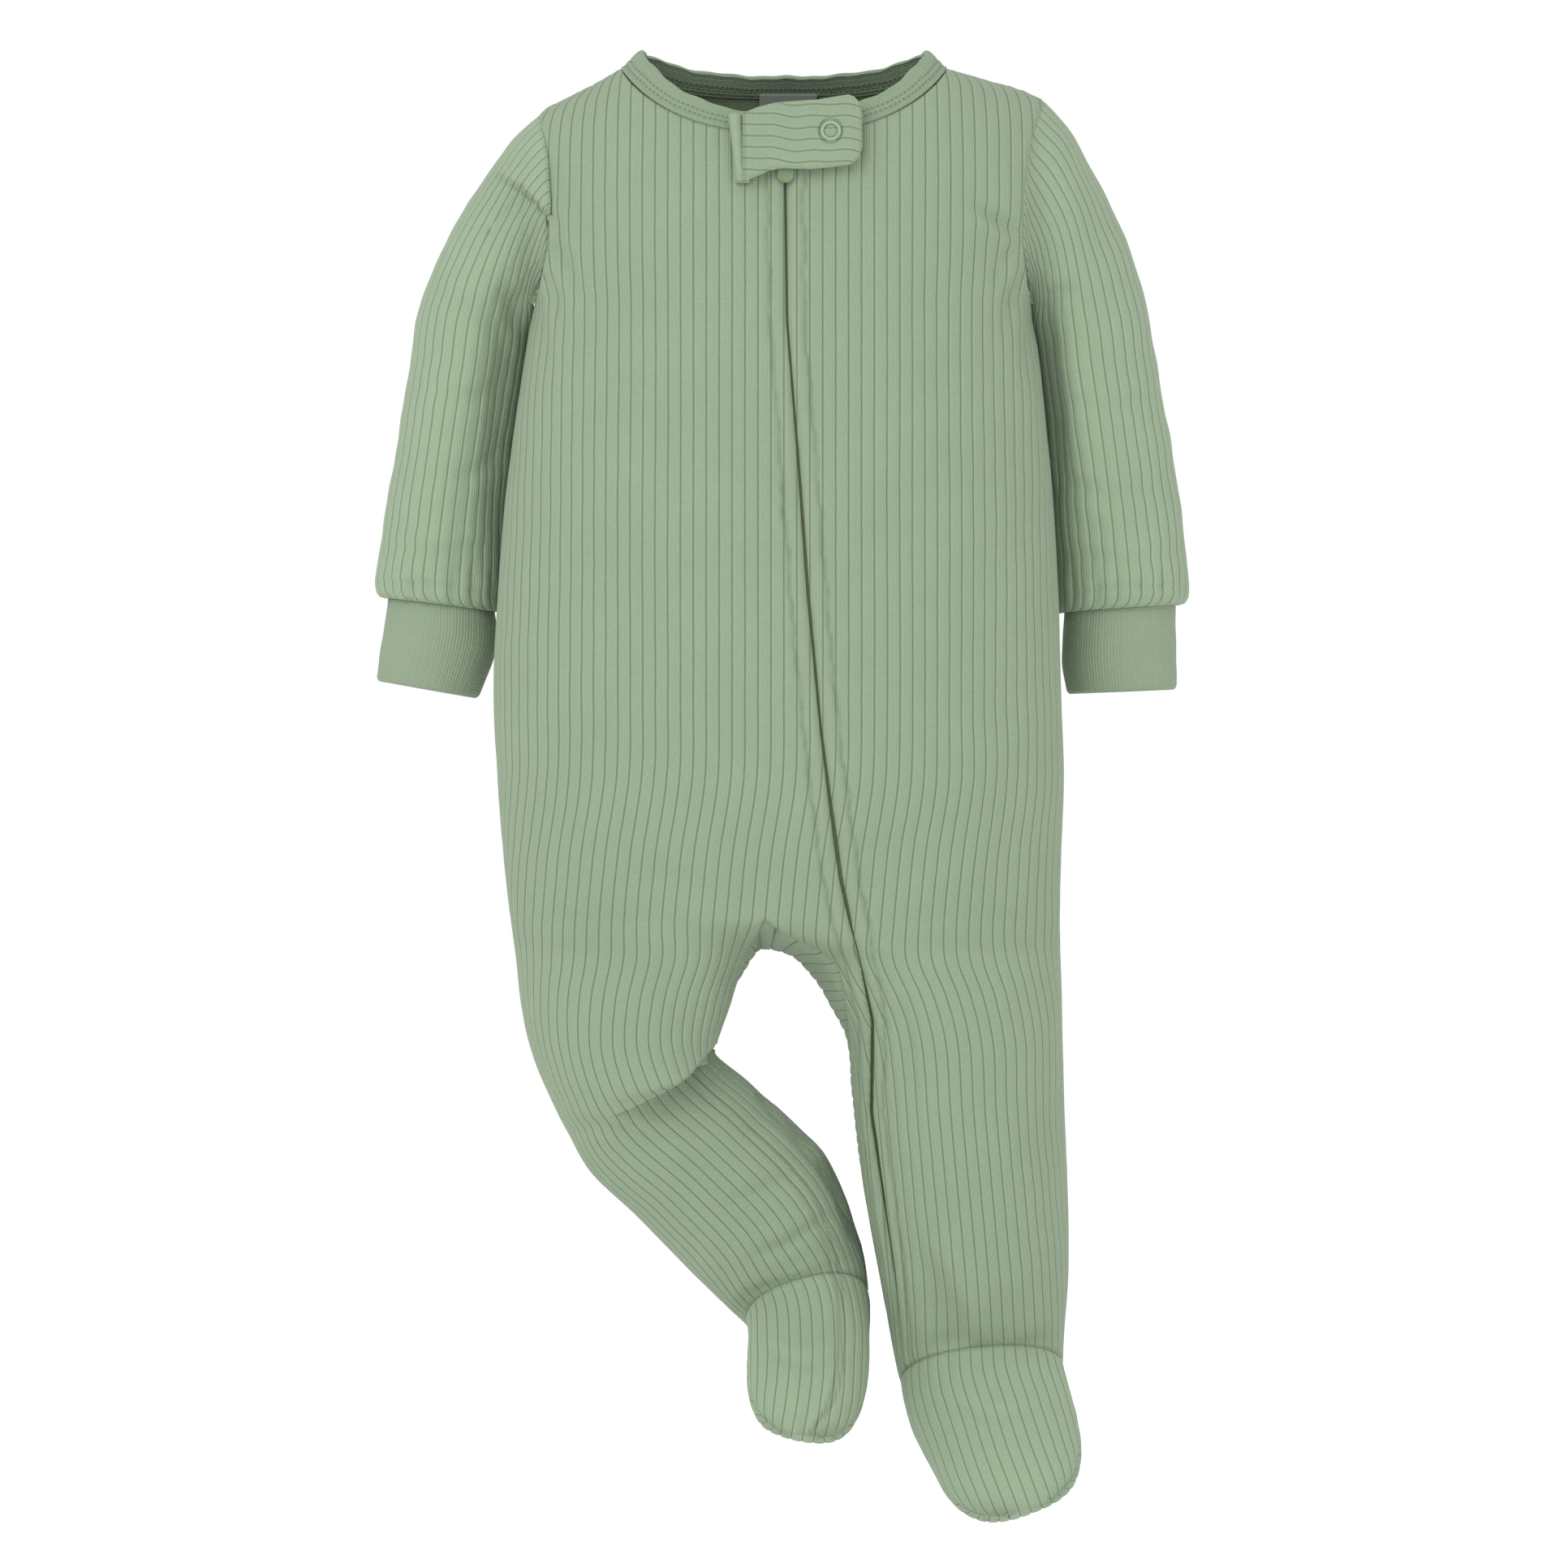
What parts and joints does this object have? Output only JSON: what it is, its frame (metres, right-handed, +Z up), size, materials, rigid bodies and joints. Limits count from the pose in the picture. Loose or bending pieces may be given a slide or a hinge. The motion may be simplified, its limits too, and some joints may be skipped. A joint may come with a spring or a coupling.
{
  "type": "footed baby sleepsuit",
  "caption": "Long-sleeved footed baby sleepsuit in wide-rib jersey, filled out as when worn, with a zip from the neck down one leg and a snap flap over its top.",
  "frame": {"origin": "between the shoulders, 3 mm above the neckline's side points, where the wearer carries the suit", "axes": "+Z up the body to the neck, -Y out of the garment's front, +X to the wearer's left"},
  "size_m": [0.331, 0.1231, 0.5936],
  "materials": {
    "rib_jersey": "wide-rib cotton jersey, sage green, matt",
    "fine_rib": "fine-rib cotton knit of neckband and cuffs, matt",
    "zip_tape": "woven zip tape, matt",
    "zip_coil": "dyed plastic coil",
    "zip_fittings": "enamelled slider and pull, satin",
    "snap": "moulded snap, satin",
    "label": "plain printed-on grey label tape, bare"
  },
  "bodies": {
    "garment": {"front_right_panel": "rib_jersey", "front_left_panel": "rib_jersey", "back_panel": "rib_jersey", "crotch_gusset": "rib_jersey", "sleeve_right": "rib_jersey", "sleeve_left": "rib_jersey", "cuff_right": "fine_rib", "cuff_left": "fine_rib", "foot_top_right": "rib_jersey", "foot_top_left": "rib_jersey", "sole_right": "rib_jersey", "sole_left": "rib_jersey", "neckband": "fine_rib", "zip_tape_right": "zip_tape", "zip_tape_left": "zip_tape", "zip_teeth": "zip_coil", "zip_slider": "zip_fittings", "zip_flap": "rib_jersey", "flap_stay": "rib_jersey", "snap_ring": "snap", "snap_stud": "snap", "neck_label": "label"},
    "pull": {"zip_pull": "zip_fittings"}
  },
  "joints": [
    {"name": "pull_swing", "type": "hinge", "parent": "garment", "child": "pull", "pos_m": [0.0006, -0.0547, -0.0375], "axis": [-1, 0, 0], "range_deg": [0, 10]}
  ]
}
